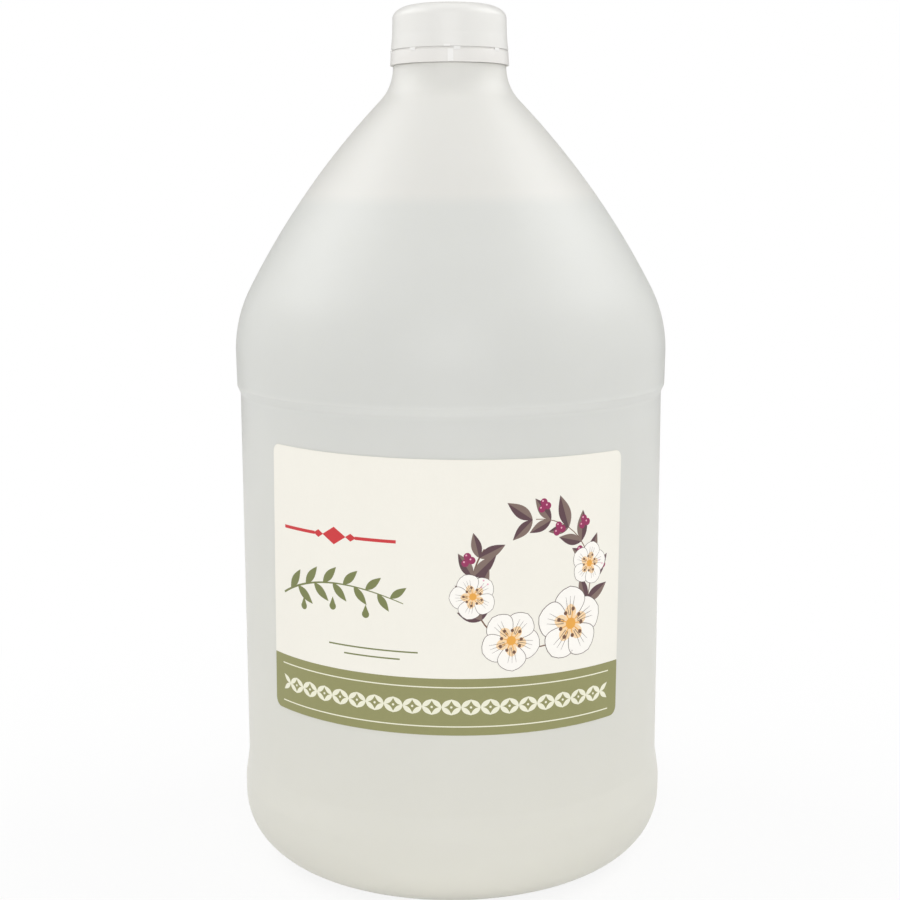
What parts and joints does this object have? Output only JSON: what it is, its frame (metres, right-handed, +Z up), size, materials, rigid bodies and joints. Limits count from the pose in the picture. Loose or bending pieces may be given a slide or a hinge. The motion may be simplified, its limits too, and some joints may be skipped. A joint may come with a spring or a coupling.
{
  "type": "gallon oil jug",
  "caption": "Round translucent plastic jug of oil with a moulded grip behind, a tamper-evident screw cap and a wrapped front label.",
  "frame": {"origin": "centre of the jug's base, on the plane that it stands on", "axes": "+Z up along the jug and neck axis, -Y towards the label, +Y towards the moulded grip"},
  "size_m": [0.155, 0.155, 0.3059],
  "materials": {
    "natural_polyethylene": "translucent natural blow-moulded polyethylene, satin",
    "oil": "pale clear vegetable oil",
    "cap_white": "white moulded plastic, satin",
    "liner_foam": "white foamed liner",
    "label_paper": null
  },
  "bodies": {
    "bottle": {"jug_body": "natural_polyethylene", "oil_fill": "oil", "front_label": "label_paper"},
    "liner": {"cap_liner": "liner_foam"},
    "cap": {"cap_shell": "cap_white"},
    "band": {"tamper_band": "cap_white"}
  },
  "joints": [
    {"name": "cap_lift", "type": "slide", "parent": "bottle", "child": "liner", "axis": [0, 0, 1], "range_m": [0, 0.017]},
    {"name": "cap_turn", "type": "hinge", "parent": "liner", "child": "cap", "pos_m": [0, 0, 0.3037], "axis": [0, 0, 1], "range_deg": [0, 1440]},
    {"name": "band_spin", "type": "hinge", "parent": "bottle", "child": "band", "pos_m": [0, 0, 0.2876], "axis": [0, 0, 1], "continuous": true}
  ],
  "couplings": [
    {"joint": "cap_lift", "follows": "cap_turn", "m_per_rad": 0.0006737}
  ]
}
